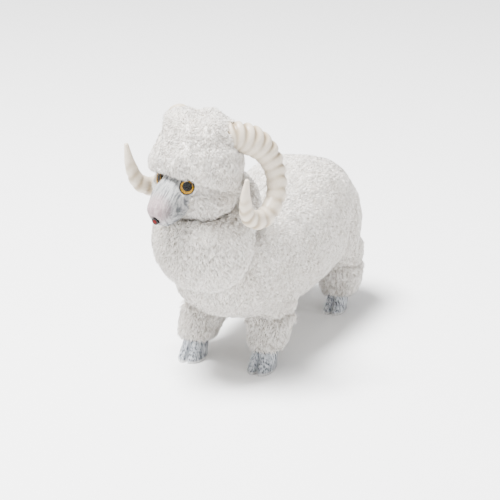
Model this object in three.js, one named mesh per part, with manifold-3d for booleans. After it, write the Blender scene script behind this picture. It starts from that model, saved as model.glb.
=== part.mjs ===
// A standing ram ornament: hard moulded body, head, legs and horns, with white
// pile fabric glued on in fitted panels. Millimetres, +Z up. The ram faces -Y,
// and its own left side is +X. The finished group stands on Z = 0 with its
// bounding box centred on the origin.

import * as THREE from 'three';
import { mergeVertices } from 'three/addons/utils/BufferGeometryUtils.js';
import Module from 'manifold-3d';

const wasm = await Module();
wasm.setup();

// ---------------------------------------------------------------- dimensions

const GAP = 0.3;                 // clearance between pieces that touch
const PILE = 4;                  // long pile fabric: backing, glue and fur
const SHORT_PILE = 1.4;          // face fabric
const CORE_WALL = 3;             // thickness of the hollow body mould
const RUFF_PADDING = 12;         // fabric and wadding of the collar
const FAR = 400;                 // reach of the blocks that trim the panels

const BODY = {
  y: 0, z: 87.5, halfWidth: 51, halfLength: 113, halfHeight: 53.5,
  planPower: 3.2, sectionPower: 2.7, withersY: -30, withersDip: 14, withersReach: 62,
};
const HAUNCH = { x: 25.5, y: 78, z: 79, halfWidth: 25, halfDepth: 33, halfHeight: 44 };
const RUFF = { x: -5, y: -115, z: 117, halfWidth: 41, halfDepth: 37, halfHeight: 39 };
const NAPE = { x: -4, y: -92, z: 140, halfWidth: 36, halfDepth: 36, halfHeight: 38 };

const LEG = {
  spread: 31, topSpread: 27,     // ankle and upper end to the middle plane
  frontAnkleY: -67, frontTopY: -45,
  rearAnkleY: 83, rearTopY: 88,
  topZ: 60, sleeveZ: 42, ankleZ: 17,
  topHalfWidth: 22, topHalfDepth: 24,
  ankleHalfWidth: 14.5, ankleHalfDepth: 16,
};
const HOOF = {
  forward: 7,                    // sole centre in front of the ankle
  halfWidth: 10.5, halfLength: 14, height: 16.5, taper: 0.82, toeSlope: 8, rearScale: 0.86,
};
const SPIGOT = { radius: 4, depth: 8 };
const PEG = { radius: 5, length: 24, start: 0.45 };
const NECK_DOWEL = { bottom: [0, -96, 132], top: [-4, -116, 176], radius: 5 };
const CLEFT = { halfWidth: 0.9, start: 0.45, top: 0.8 };   // the split in the front of a hoof

const HEAD = { x: -5, y: -121, z: 190, turn: 13, tilt: 3.5 };      // degrees
const CRANIUM = { y: 2, z: -6, halfWidth: 39, halfDepth: 33, halfHeight: 33 };
const JOWL = { y: 2, z: -31, halfWidth: 36, halfDepth: 30, halfHeight: 27 };
const BROW = { frontY: -30, frontZ: -13, slope: -0.42 };
const MUZZLE = {
  rootY: -4, rootZ: -18, rootHalfWidth: 21, rootHalfHeight: 21,
  noseY: -40, noseZ: -41, noseHalfWidth: 12, noseHalfHeight: 13,
  roundness: 7,
};
const BRIDGE = { halfWidth: 12, y: -20, z: -30 };     // bare strip between the eyes
const POLL_LOBES = [             // x, y, z, radius, in the head's own frame
  [0, 6, 4, 28], [0, -6, -2, 23], [-7, -3, 17, 13], [14, -4, 15, 13],
  [-17, 9, 15, 14], [21, 10, 14, 14], [-2, 17, 17, 14],
];
const LOBE_SPREAD = 1.15;        // a lobe's width over its height

const EYE = { x: 13.5, y: -25.5, z: -20, radius: 6, outward: 33, upward: 8 };
const EYE_PARTS = {
  cupDepth: 1.2, irisDepth: 0.6, irisMargin: 0.8, domeHeight: 3, stemRadius: 2, stemLength: 9,
};
const MOUTH = { y: -45.5, z: -46, down: 20, rimRadius: 3, inlayRadius: 1.7, depth: 3 };

const HORN_PATH = [              // left, back, up from the head centre
  [22, 3, 15], [28, 11, 16.5], [35, 22, 12], [41, 34, 2], [46, 41, -14],
  [50.5, 38, -33], [53, 20, -46], [54.5, -1, -39], [57, -9, -24], [59.7, -12, -6],
];
const HORN_RADII = [8, 11, 12.2, 10.6, 9.2, 8.8, 8.2, 6.8, 5, 1.7];
const HORN = {
  steps: 44, socketSteps: 14, around: 8,
  rings: 11, ringDepth: 0.09, flatness: 0.85,
  smoothTip: 0.3,                // length at the tip where the rings fade out
};

const PANEL = {                  // seams between the body's fabric panels
  chestHalfWidth: 31, chestY: -64, bellyHalfWidth: 27, bellyZ: 62, rumpY: 64,
};
const TAIL = { y: 106, topZ: 122, bottomZ: 84, lean: 4, halfWidth: 9, halfDepth: 5 };

const MATERIALS = {
  fur: { color: 0xeceae6, roughness: 0.95, metalness: 0 },
  face: { color: 0xe6e2df, roughness: 0.85, metalness: 0 },
  core: { color: 0xd9d4c8, roughness: 0.6, metalness: 0 },
  horn: { color: 0xe0d8c8, roughness: 0.45, metalness: 0 },
  hoof: { color: 0xb4b9c0, roughness: 0.5, metalness: 0.2 },
  black: { color: 0x14110f, roughness: 0.25, metalness: 0 },
  amber: { color: 0xe09a1c, roughness: 0.3, metalness: 0 },
  clear: { color: 0xffffff, roughness: 0.05, metalness: 0 },
  red: { color: 0xb3161d, roughness: 0.35, metalness: 0 },
  wood: { color: 0xc9a777, roughness: 0.7, metalness: 0 },
};

// ------------------------------------------------------------ solid modelling

/** A closed triangle geometry as a Manifold solid. */
function solid(geometry) {
  const bare = geometry.clone();
  bare.deleteAttribute('normal');
  bare.deleteAttribute('uv');
  const merged = mergeVertices(bare, 1e-4);
  const mesh = new wasm.Mesh({
    numProp: 3,
    vertProperties: new Float32Array(merged.attributes.position.array),
    triVerts: new Uint32Array(merged.index.array),
  });
  return new wasm.Manifold(mesh);
}

/** A Manifold solid as a three.js geometry. */
function geometryOf(body) {
  const mesh = body.getMesh();
  const geometry = new THREE.BufferGeometry();
  geometry.setAttribute('position', new THREE.BufferAttribute(mesh.vertProperties, 3));
  geometry.setIndex(new THREE.BufferAttribute(mesh.triVerts, 1));
  geometry.computeVertexNormals();
  return geometry;
}

/** Joins several solids into one. */
function join(...bodies) {
  return bodies.reduce((sum, body) => sum.add(body));
}

/** Cuts every tool from a solid. */
function cut(body, ...tools) {
  return tools.reduce((rest, tool) => rest.subtract(tool), body);
}

/** A closed solid through rings of equal point count, with a fan on each end. */
function loft(rings) {
  const count = rings[0].length;
  const positions = rings.flat().flatMap((point) => point.toArray());
  const index = [];
  for (let r = 0; r + 1 < rings.length; r += 1) {
    for (let i = 0; i < count; i += 1) {
      const a = r * count + i;
      const b = r * count + ((i + 1) % count);
      index.push(a, b, b + count, a, b + count, a + count);
    }
  }
  for (const ringNumber of [0, rings.length - 1]) {
    const hub = positions.length / 3;
    const middle = new THREE.Vector3();
    for (const point of rings[ringNumber]) middle.addScaledVector(point, 1 / count);
    positions.push(...middle.toArray());
    for (let i = 0; i < count; i += 1) {
      const a = ringNumber * count + i;
      const b = ringNumber * count + ((i + 1) % count);
      if (ringNumber === 0) index.push(hub, b, a);
      else index.push(hub, a, b);
    }
  }
  const geometry = new THREE.BufferGeometry();
  geometry.setAttribute('position', new THREE.Float32BufferAttribute(positions, 3));
  geometry.setIndex(index);
  return geometry;
}

/** Points of a superellipse about a centre, in the plane of across and up. */
function ovalRing(centre, across, up, halfWidth, halfHeight, count, power = 2) {
  const points = [];
  for (let i = 0; i < count; i += 1) {
    const c = Math.cos((2 * Math.PI * i) / count);
    const s = Math.sin((2 * Math.PI * i) / count);
    const w = halfWidth * Math.sign(c) * Math.abs(c) ** (2 / power);
    const h = halfHeight * Math.sign(s) * Math.abs(s) ** (2 / power);
    points.push(centre.clone().addScaledVector(across, w).addScaledVector(up, h));
  }
  return points;
}

/** An ellipsoid, shrunk all round by the inset. */
function ellipsoid(centre, halfSizes, inset = 0, around = 14, down = 8) {
  const geometry = new THREE.SphereGeometry(1, around, down);
  geometry.rotateX(Math.PI / 2);
  geometry.scale(halfSizes[0] - inset, halfSizes[1] - inset, halfSizes[2] - inset);
  geometry.translate(...centre);
  return solid(geometry);
}

/** A block between two corners. */
function block(x0, x1, y0, y1, z0, z1) {
  const geometry = new THREE.BoxGeometry(x1 - x0, y1 - y0, z1 - z0);
  geometry.translate((x0 + x1) / 2, (y0 + y1) / 2, (z0 + z1) / 2);
  return solid(geometry);
}

/** A cylinder from one point to another. */
function rod(start, end, radius, sides = 10) {
  const axis = new THREE.Vector3().subVectors(end, start);
  const geometry = new THREE.CylinderGeometry(radius, radius, axis.length(), sides);
  geometry.applyQuaternion(
    new THREE.Quaternion().setFromUnitVectors(new THREE.Vector3(0, 1, 0), axis.clone().normalize()),
  );
  geometry.translate(...start.clone().addScaledVector(axis, 0.5).toArray());
  return solid(geometry);
}

const SIDES = [['left', 1], ['right', -1]];
const ENDS = ['front', 'rear'];
const AXIS_X = new THREE.Vector3(1, 0, 0);
const AXIS_Y = new THREE.Vector3(0, 1, 0);
const AXIS_Z = new THREE.Vector3(0, 0, 1);
const radians = THREE.MathUtils.degToRad;
const mix = THREE.MathUtils.lerp;

// ------------------------------------------------------------- outer forms
// Every form takes an inset, so the fabric's outside and the mould under it
// come from the same description.

/** The barrel: a superellipsoid along Y. */
function barrelForm(inset) {
  const stations = 10;
  const rings = [];
  for (let i = 0; i <= stations; i += 1) {
    const angle = mix(-0.48, 0.48, i / stations) * Math.PI;
    const along = Math.sign(angle) * Math.abs(Math.sin(angle)) ** (2 / BODY.planPower);
    const size = Math.cos(angle) ** (2 / BODY.planPower);
    const y = BODY.y + along * (BODY.halfLength - inset);
    const dip = BODY.withersDip * Math.exp(-(((y - BODY.withersY) / BODY.withersReach) ** 2));
    const centre = new THREE.Vector3(0, y, BODY.z - dip / 2);
    rings.push(ovalRing(
      centre, AXIS_Z, AXIS_X, size * (BODY.halfHeight - inset - dip / 2),
      size * (BODY.halfWidth - inset), 18, BODY.sectionPower,
    ));
  }
  return solid(loft(rings));
}

/** The barrel with both haunches. */
function bodyForm(inset) {
  const haunches = SIDES.map(([, side]) => ellipsoid(
    [side * HAUNCH.x, HAUNCH.y, HAUNCH.z],
    [HAUNCH.halfWidth, HAUNCH.halfDepth, HAUNCH.halfHeight], inset, 10, 6,
  ));
  return join(barrelForm(inset), ...haunches);
}

/** The middle of a leg, from the ankle (0) to its upper end (1). */
function legPoint(side, end, t) {
  const ankleY = end === 'front' ? LEG.frontAnkleY : LEG.rearAnkleY;
  const topY = end === 'front' ? LEG.frontTopY : LEG.rearTopY;
  return new THREE.Vector3(
    side * mix(LEG.spread, LEG.topSpread, t), mix(ankleY, topY, t), mix(LEG.ankleZ, LEG.topZ, t),
  );
}

/** One leg, from above the ankle up into the barrel. */
function legForm(side, end, inset) {
  const rings = [0, 0.12, 0.5, 1].map((t) => {
    const ease = t ** 0.8;
    const pinch = t === 0 ? 0.9 : 1;
    return ovalRing(
      legPoint(side, end, t), AXIS_X, AXIS_Y,
      pinch * mix(LEG.ankleHalfWidth, LEG.topHalfWidth, ease) - inset,
      pinch * mix(LEG.ankleHalfDepth, LEG.topHalfDepth, ease) - inset, 12,
    );
  });
  return solid(loft(rings));
}

/** The collar of long fur round the throat, with the nape behind it. */
function ruffForm(inset) {
  return join(
    ellipsoid(
      [RUFF.x, RUFF.y, RUFF.z], [RUFF.halfWidth, RUFF.halfDepth, RUFF.halfHeight], inset,
    ),
    ellipsoid(
      [NAPE.x, NAPE.y, NAPE.z], [NAPE.halfWidth, NAPE.halfDepth, NAPE.halfHeight], inset,
    ),
  );
}

/** Cranium and jowls, in the head's own frame. */
function skullForm(inset) {
  const { y, z, halfWidth, halfDepth, halfHeight } = CRANIUM;
  return join(
    ellipsoid([0, y, z], [halfWidth, halfDepth, halfHeight], inset),
    ellipsoid([0, JOWL.y, JOWL.z], [JOWL.halfWidth, JOWL.halfDepth, JOWL.halfHeight], inset),
  );
}

/** The muzzle, a tapering loft that ends in a rounded nose. */
function muzzleForm(inset) {
  const root = new THREE.Vector3(0, MUZZLE.rootY, MUZZLE.rootZ);
  const nose = new THREE.Vector3(0, MUZZLE.noseY, MUZZLE.noseZ);
  const forward = nose.clone().sub(root).normalize();
  const up = new THREE.Vector3().crossVectors(AXIS_X, forward).negate();
  const rings = [];
  for (const t of [0, 0.5, 1]) {
    rings.push(ovalRing(
      root.clone().lerp(nose, t), AXIS_X, up,
      mix(MUZZLE.rootHalfWidth, MUZZLE.noseHalfWidth, t) - inset,
      mix(MUZZLE.rootHalfHeight, MUZZLE.noseHalfHeight, t) - inset, 14, 2.3,
    ));
  }
  for (const angle of [35, 70]) {
    const size = Math.cos(radians(angle)) ** 0.8;
    const reach = (MUZZLE.roundness - inset) * Math.sin(radians(angle));
    rings.push(ovalRing(
      nose.clone().addScaledVector(forward, reach), AXIS_X, up,
      size * (MUZZLE.noseHalfWidth - inset), size * (MUZZLE.noseHalfHeight - inset), 14, 2.3,
    ));
  }
  return solid(loft(rings));
}

/** The lumpy wool on top of the head. */
function pollForm() {
  return join(...POLL_LOBES.map(([x, y, z, radius], index) => (
    ellipsoid(
      [x, y, z], [radius * LOBE_SPREAD, radius * LOBE_SPREAD, radius], 0,
      index > 1 ? 8 : 14, index > 1 ? 6 : 8,
    )
  )));
}

/** Everything above the brow line, tilting down towards the back of the head. */
function aboveBrow(shift) {
  const rise = FAR * BROW.slope;
  const z = BROW.frontZ + shift;
  const corners = [[-FAR, z + rise * -1], [FAR, z + rise], [FAR, FAR * 2], [-FAR, FAR * 2]];
  const outline = new THREE.Shape(corners.map(([y, height]) => (
    new THREE.Vector2(y + BROW.frontY, height)
  )));
  const geometry = new THREE.ExtrudeGeometry(outline, { depth: 2 * FAR, bevelEnabled: false });
  geometry.translate(0, 0, -FAR);
  geometry.rotateX(Math.PI / 2);
  geometry.rotateZ(Math.PI / 2);
  return solid(geometry);
}

// ---------------------------------------------------------------- placement

const headMatrix = new THREE.Matrix4()
  .makeTranslation(HEAD.x, HEAD.y, HEAD.z)
  .multiply(new THREE.Matrix4().makeRotationZ(-radians(HEAD.turn)))
  .multiply(new THREE.Matrix4().makeRotationY(radians(HEAD.tilt)));

/** A solid of the head's own frame, moved to where the head stands. */
function inPlace(body) {
  return solid(geometryOf(body).applyMatrix4(headMatrix));
}

/** A solid of the standing frame, moved into the head's own frame. */
function inHeadFrame(body) {
  return solid(geometryOf(body).applyMatrix4(headMatrix.clone().invert()));
}

const ram = new THREE.Group();
const head = new THREE.Group();
head.applyMatrix4(headMatrix);

/** Adds one named piece to a group. */
function place(group, name, geometry, materialName) {
  const material = new THREE.MeshStandardMaterial(MATERIALS[materialName]);
  const mesh = new THREE.Mesh(geometry, material);
  mesh.name = name;
  group.add(mesh);
  return mesh;
}

/** Adds a piece given as a solid. */
function placeSolid(group, name, body, materialName) {
  return place(group, name, geometryOf(body), materialName);
}

// --------------------------------------------------------------------- horns

/** The horn's centre line on one side, from the root (0) to the tip (1). */
function hornPoint(side, t) {
  const path = new THREE.CatmullRomCurve3(
    HORN_PATH.map(([x, y, z]) => new THREE.Vector3(side * x, y, z)), false, 'centripetal',
  );
  return path.getPoint(t);
}

/** The horn's radius along it, from the root (0) to the tip (1). */
function hornRadius(t) {
  const station = t * (HORN_RADII.length - 1);
  const below = Math.min(Math.floor(station), HORN_RADII.length - 2);
  return mix(HORN_RADII[below], HORN_RADII[below + 1], station - below);
}

/** A horn swept along its path, with growth rings that fade towards the tip. */
function hornForm(side, extra, ringDepth, steps = HORN.steps) {
  const rings = [];
  for (let i = 0; i <= steps; i += 1) {
    const t = i / HORN.steps;
    const centre = hornPoint(side, t);
    const ahead = hornPoint(side, Math.min(t + 0.01, 1));
    const behind = hornPoint(side, Math.max(t - 0.01, 0));
    const forward = ahead.sub(behind).normalize();
    const across = new THREE.Vector3().crossVectors(AXIS_X, forward).normalize();
    const outward = new THREE.Vector3().crossVectors(forward, across);
    const fade = THREE.MathUtils.smoothstep(1 - t, HORN.smoothTip * 0.5, HORN.smoothTip * 1.6);
    const wave = 1 - ringDepth * fade * Math.cos(2 * Math.PI * HORN.rings * t) ** 2;
    const radius = hornRadius(t) * wave + extra;
    rings.push(ovalRing(centre, across, outward, radius, radius * HORN.flatness, HORN.around));
  }
  return solid(loft(rings));
}

for (const [sideName, side] of SIDES) {
  placeSolid(head, `horn_${sideName}`, hornForm(side, 0, HORN.ringDepth), 'horn');
}
const hornSockets = join(...SIDES.map(([, side]) => hornForm(side, GAP, 0, HORN.socketSteps)));

// ---------------------------------------------------------------------- eyes

/** A point in front of or behind one eye, along the way it looks. */
function eyePoint(side, distance) {
  const look = new THREE.Vector3(
    side * Math.sin(radians(EYE.outward)), -Math.cos(radians(EYE.outward)),
    Math.tan(radians(EYE.upward)),
  ).normalize();
  return new THREE.Vector3(side * EYE.x, EYE.y, EYE.z).addScaledVector(look, distance);
}

/** A dome with a flat back, along one eye's look. */
function eyeDome(side, start) {
  const { radius } = EYE;
  const profile = [new THREE.Vector2(0, 0)];
  for (let i = 0; i <= 4; i += 1) {
    const angle = (i / 4) * (Math.PI / 2);
    profile.push(
      new THREE.Vector2(radius * Math.cos(angle), EYE_PARTS.domeHeight * Math.sin(angle)),
    );
  }
  profile[profile.length - 1].x = 0;
  const geometry = new THREE.LatheGeometry(profile, 16);
  const look = eyePoint(side, 1).sub(eyePoint(side, 0));
  geometry.applyQuaternion(new THREE.Quaternion().setFromUnitVectors(AXIS_Y, look));
  geometry.translate(...eyePoint(side, start).toArray());
  return solid(geometry);
}

for (const [sideName, side] of SIDES) {
  const irisBack = GAP;
  const domeBack = irisBack + EYE_PARTS.irisDepth + GAP;
  const cup = join(
    rod(eyePoint(side, -EYE_PARTS.cupDepth), eyePoint(side, 0), EYE.radius, 16),
    rod(eyePoint(side, -EYE_PARTS.stemLength), eyePoint(side, -0.5), EYE_PARTS.stemRadius, 8),
  );
  const iris = rod(
    eyePoint(side, irisBack), eyePoint(side, domeBack - GAP), EYE.radius - EYE_PARTS.irisMargin, 16,
  );
  placeSolid(head, `eye_cup_${sideName}`, cup, 'black');
  placeSolid(head, `eye_iris_${sideName}`, iris, 'amber');
  placeSolid(head, `eye_dome_${sideName}`, eyeDome(side, domeBack), 'clear');
}

const eyeSockets = join(...SIDES.flatMap(([, side]) => [
  rod(eyePoint(side, -EYE_PARTS.cupDepth - GAP), eyePoint(side, 14), EYE.radius + GAP, 16),
  rod(eyePoint(side, -EYE_PARTS.stemLength - 1), eyePoint(side, 0), EYE_PARTS.stemRadius + GAP, 8),
]));

// --------------------------------------------------------------------- mouth

/** A point along the mouth's axis, which leans down from straight ahead. */
function mouthPoint(distance) {
  return new THREE.Vector3(
    0, MOUTH.y - distance * Math.cos(radians(MOUTH.down)),
    MOUTH.z - distance * Math.sin(radians(MOUTH.down)),
  );
}

const mouthInlay = rod(mouthPoint(-MOUTH.depth + 1), mouthPoint(0.6), MOUTH.inlayRadius, 12);
const mouthRim = cut(
  rod(mouthPoint(-MOUTH.depth), mouthPoint(0.3), MOUTH.rimRadius, 14),
  rod(mouthPoint(-MOUTH.depth + 1 - GAP), mouthPoint(2), MOUTH.inlayRadius + GAP, 12),
);
placeSolid(head, 'mouth_rim', mouthRim, 'black');
placeSolid(head, 'mouth_inlay', mouthInlay, 'red');
const mouthSocket = rod(mouthPoint(-MOUTH.depth - GAP), mouthPoint(9), MOUTH.rimRadius + GAP, 14);

// --------------------------------------------------------------------- mould

const legForms = SIDES.flatMap(([sideName, side]) => ENDS.map((end) => ({
  name: `${end}_${sideName}`, side, end,
})));

/** Cranium, jowls and muzzle under their fabric, grown by extra. */
function headMould(extra) {
  return join(skullForm(PILE - extra), muzzleForm(SHORT_PILE - extra));
}

/** Barrel and neck under their fabric, grown by extra. */
function bodyMould(extra) {
  return join(bodyForm(PILE - extra), ruffForm(RUFF_PADDING - extra));
}

/** The upper end of a leg's moulded core: a peg that enters the barrel. */
function legPeg(side, end, radius) {
  const middle = legPoint(side, end, PEG.start);
  return rod(middle, middle.clone().setZ(middle.z + PEG.length), radius);
}

const dowelBottom = new THREE.Vector3(...NECK_DOWEL.bottom);
const dowelTop = new THREE.Vector3(...NECK_DOWEL.top);

/** The hole for the neck dowel, a little past its ends. */
function dowelHole(below, above) {
  return rod(
    dowelBottom.clone().lerp(dowelTop, -below), dowelBottom.clone().lerp(dowelTop, 1 + above),
    NECK_DOWEL.radius + GAP,
  );
}

const headOutside = join(skullForm(0), muzzleForm(0), pollForm());
const headClearance = inPlace(headOutside);
const headMouldGrown = inPlace(headMould(GAP));

const bodySolid = cut(
  bodyMould(0), barrelForm(PILE + CORE_WALL), headMouldGrown,
  dowelHole(0.1, 0),
  ...legForms.map(({ side, end }) => legPeg(side, end, PEG.radius + GAP)),
);
for (const [sideName, side] of SIDES) {
  const near = side * GAP * 0.5;
  const reach = side > 0 ? [near, FAR] : [-FAR, near];
  const half = block(...reach, -FAR, FAR, -FAR, FAR);
  placeSolid(ram, `body_core_${sideName}`, bodySolid.intersect(half), 'core');
}

const headSolid = cut(
  headMould(0), hornSockets, eyeSockets, mouthSocket,
  inHeadFrame(dowelHole(0, 0.04)),
);
placeSolid(head, 'head_core', headSolid, 'core');
placeSolid(ram, 'neck_dowel', rod(dowelBottom, dowelTop, NECK_DOWEL.radius), 'wood');

// ---------------------------------------------------------- legs and hooves

/** A hoof with a flat sole, a cloven front and a socket for the ankle spigot. */
function hoofForm(end, side) {
  const rings = [];
  const scale = end === 'front' ? 1 : HOOF.rearScale;
  for (const [t, size] of [[0, 0.94], [0.12, 1], [0.55, 0.93], [1, HOOF.taper]]) {
    rings.push(ovalRing(
      new THREE.Vector3(0, HOOF.toeSlope * (t - 0.5), t * HOOF.height), AXIS_X, AXIS_Y,
      scale * size * HOOF.halfWidth, scale * size * HOOF.halfLength, 18, 2.6,
    ));
  }
  const hoof = solid(loft(rings));
  const cleft = block(
    -CLEFT.halfWidth, CLEFT.halfWidth, -FAR, -HOOF.halfLength * CLEFT.start,
    -1, HOOF.height * CLEFT.top,
  );
  const socket = rod(
    new THREE.Vector3(0, HOOF.forward, HOOF.height - SPIGOT.depth - GAP),
    new THREE.Vector3(0, HOOF.forward, HOOF.height + 1), SPIGOT.radius + GAP, 12,
  );
  const ankle = legPoint(side, end, 0);
  const geometry = geometryOf(cut(hoof, cleft, socket));
  geometry.translate(ankle.x, ankle.y - HOOF.forward, 0);
  return geometry;
}

const bodyMouldGrown = bodyMould(GAP);
for (const { name, side, end } of legForms) {
  const ankle = legPoint(side, end, 0);
  const spigot = rod(
    ankle.clone().setZ(HOOF.height - SPIGOT.depth), ankle.clone().setZ(LEG.ankleZ + 2),
    SPIGOT.radius, 12,
  );
  const mould = join(
    cut(legForm(side, end, PILE), bodyMouldGrown), legPeg(side, end, PEG.radius), spigot,
  );
  placeSolid(ram, `${name}_leg_core`, mould, 'core');
  place(ram, `${name}_hoof`, hoofForm(end, side), 'hoof');
}

// -------------------------------------------------------------- fur panels

const WIDE = [-FAR, FAR];

/** A slab of the standing frame, shrunk by half a gap at each seam it names. */
function zone([x0, x1], [y0, y1], [z0, z1]) {
  const seam = GAP / 2;
  const shrink = (low, high) => [
    low === -FAR ? low : low + seam, high === FAR ? high : high - seam,
  ];
  return block(...shrink(x0, x1), ...shrink(y0, y1), ...shrink(z0, z1));
}

const legOutside = join(...legForms.map(({ side, end }) => legForm(side, end, 0)));
const legMouldGrown = join(...legForms.map(({ side, end }) => legForm(side, end, PILE - GAP)));
const ruffOutside = ruffForm(0);

const aboveSleeves = zone(WIDE, WIDE, [LEG.sleeveZ, FAR]);
const bodySkin = cut(
  join(bodyForm(0), legOutside.intersect(aboveSleeves)), bodyMouldGrown, legMouldGrown,
);
const chestZone = zone([-PANEL.chestHalfWidth, PANEL.chestHalfWidth], [-FAR, PANEL.chestY], WIDE);
const bellyZone = zone(
  [-PANEL.bellyHalfWidth, PANEL.bellyHalfWidth], [PANEL.chestY, PANEL.rumpY], [-FAR, PANEL.bellyZ],
);
const rumpZone = zone(WIDE, [PANEL.rumpY, FAR], WIDE);
const flankZones = SIDES.map(([, side]) => {
  const reach = side > 0 ? [0, FAR] : [-FAR, 0];
  const beside = side > 0 ? [PANEL.chestHalfWidth, FAR] : [-FAR, -PANEL.chestHalfWidth];
  const outer = side > 0 ? [PANEL.bellyHalfWidth, FAR] : [-FAR, -PANEL.bellyHalfWidth];
  return join(
    zone(reach, [PANEL.chestY, PANEL.rumpY], [PANEL.bellyZ, FAR]),
    zone(outer, [PANEL.chestY, PANEL.rumpY], WIDE),
    zone(beside, [-FAR, PANEL.chestY + 2 * GAP], WIDE),
  );
});

placeSolid(ram, 'chest_cover', bodySkin.intersect(chestZone), 'fur');
placeSolid(ram, 'belly_cover', bodySkin.intersect(bellyZone), 'fur');
placeSolid(ram, 'rump_cover', bodySkin.intersect(rumpZone), 'fur');
for (const [index, [sideName]] of SIDES.entries()) {
  placeSolid(ram, `flank_cover_${sideName}`, bodySkin.intersect(flankZones[index]), 'fur');
}

for (const { name, side, end } of legForms) {
  const sleeve = cut(
    legForm(side, end, 0).intersect(zone(WIDE, WIDE, [-FAR, LEG.sleeveZ])),
    legForm(side, end, PILE - GAP), bodyForm(-GAP),
  );
  placeSolid(ram, `${name}_leg_sleeve`, sleeve, 'fur');
}

const ruff = cut(ruffOutside, bodyForm(-GAP), bodyMouldGrown, headClearance);
placeSolid(ram, 'ruff_cover', ruff, 'fur');

const headHollow = join(
  headMould(GAP), eyeSockets, hornSockets, inHeadFrame(bodyMouldGrown),
);
const noseBridge = block(-BRIDGE.halfWidth, BRIDGE.halfWidth, -FAR, BRIDGE.y, BRIDGE.z, FAR);
const headWool = cut(skullForm(0), headHollow, muzzleForm(-GAP), aboveBrow(-GAP), noseBridge);
for (const [sideName, side] of SIDES) {
  const half = side > 0 ? zone([0, FAR], WIDE, WIDE) : zone([-FAR, 0], WIDE, WIDE);
  placeSolid(head, `cheek_cover_${sideName}`, headWool.intersect(half), 'fur');
}
const poll = cut(join(skullForm(0), pollForm()), headHollow, muzzleForm(-GAP));
placeSolid(head, 'poll_cover', poll.intersect(aboveBrow(0)), 'fur');
placeSolid(head, 'face_cover', cut(muzzleForm(0), headMould(GAP), eyeSockets, mouthSocket), 'face');

// ---------------------------------------------------------- tail and standing

const tailRings = [0, 0.15, 0.5, 0.85, 1].map((t) => {
  const size = Math.sqrt(1 - (0.94 * (2 * t - 1)) ** 4);
  return ovalRing(
    new THREE.Vector3(0, TAIL.y + TAIL.lean * t, mix(TAIL.bottomZ, TAIL.topZ, t)), AXIS_X, AXIS_Y,
    size * TAIL.halfWidth, size * TAIL.halfDepth, 12,
  );
});
const tail = cut(solid(loft(tailRings)), bodyForm(-GAP));
placeSolid(ram, 'tail_cover', tail, 'fur');

const bounds = new THREE.Box3();
ram.add(head);
ram.updateMatrixWorld(true);
bounds.setFromObject(ram, true);
const middle = bounds.getCenter(new THREE.Vector3());
ram.position.set(-middle.x, -middle.y, -bounds.min.z);

const standing = new THREE.Group();
standing.add(ram);

export default standing;
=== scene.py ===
"""A white ram ornament in pile fabric, with ringed horns, amber eyes and cloven hooves.

Metres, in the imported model's frame: the ram faces -Y, its left side is +X, and +Z is up.
"""

import math

import bpy
import numpy as np
from mathutils import Matrix, Vector, noise
from mathutils.bvhtree import BVHTree
from mathutils.kdtree import KDTree


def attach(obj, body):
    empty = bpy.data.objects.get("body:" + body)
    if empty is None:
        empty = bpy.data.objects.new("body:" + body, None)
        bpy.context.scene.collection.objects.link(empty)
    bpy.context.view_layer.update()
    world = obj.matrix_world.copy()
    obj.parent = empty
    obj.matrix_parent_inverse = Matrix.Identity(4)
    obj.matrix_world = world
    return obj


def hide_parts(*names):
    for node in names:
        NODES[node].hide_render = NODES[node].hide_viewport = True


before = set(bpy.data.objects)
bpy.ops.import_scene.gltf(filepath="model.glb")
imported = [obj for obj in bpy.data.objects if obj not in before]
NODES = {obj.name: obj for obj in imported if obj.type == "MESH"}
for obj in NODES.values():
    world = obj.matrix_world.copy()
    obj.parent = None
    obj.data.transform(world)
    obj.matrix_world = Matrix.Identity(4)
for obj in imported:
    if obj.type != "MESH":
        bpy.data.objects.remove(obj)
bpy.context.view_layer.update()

# Both sources of chance are seeded; noise.noise_vector draws its offsets from the second.
SEED = 11
RNG = np.random.default_rng(SEED)
noise.seed_set(SEED)

MM = 0.001
SIDES = {"left": 1, "right": -1}
LEGS = [f"{end}_{side}" for end in ("front", "rear") for side in SIDES]

# ------------------------------------------------------------------ dimensions
# Millimetres and degrees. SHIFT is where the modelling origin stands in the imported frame.
SHIFT = Vector((4.981, 27.603, 0.0))
HEAD = {"at": Vector((-5, -121, 190)), "turn": 13, "tilt": 3.5}

# An eye's middle in the head's frame, its size, and how far it looks outward and upward.
# The pile stops EYE_MARGIN short of it, down to "behind" in the socket.
EYE = {"x": 13.5, "y": -25.5, "z": -20, "radius": 6, "outward": 33, "upward": 8, "behind": 8}
EYE_MARGIN = 1.8
# Where the black of the pupil ends and that of the edge begins, outwards from the middle.
IRIS = {"pupil": (3.6, 4.2), "pupil_middle": (0.4, 0.7, 0), "edge": (4.6, 5.2)}
DOME = {"back": 1.2, "height": 3.0, "around": 40, "down": 12, "top_angle": 87}
NOSE = {"at": (0, -46, -36), "pink_within": 6, "grey_beyond": 16}
MOUTH = {"y": -45.5, "z": -46, "clear": 3.6}

HORN_PATH = [
    (22, 3, 15), (28, 11, 16.5), (35, 22, 12), (41, 34, 2), (46, 41, -14),
    (50.5, 38, -33), (53, 20, -46), (54.5, -1, -39), (57, -9, -24), (59.7, -12, -6),
]
HORN_RADII = [8, 11, 12.2, 10.6, 9.2, 8.8, 8.2, 6.8, 5, 1.7]
CURL_MIDDLE = (50, 14, -14)
# Rings are deepest on the outside of the curl and least_depth of that on its inside. They
# fade out over smooth_tip of the length, just before the plain tip.
HORN = {
    "steps": 360, "around": 40, "flatness": 0.85, "tangent_step": 0.01,
    "rings": 19, "depth": 0.19, "sharpness": 1.7, "side_depth": 0.68, "side_gain": 0.55,
    "least_depth": 0.2, "smooth_tip": 0.2, "plain_tip": 0.04, "wobble": 0.12, "wobble_turn": 9,
}

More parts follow.
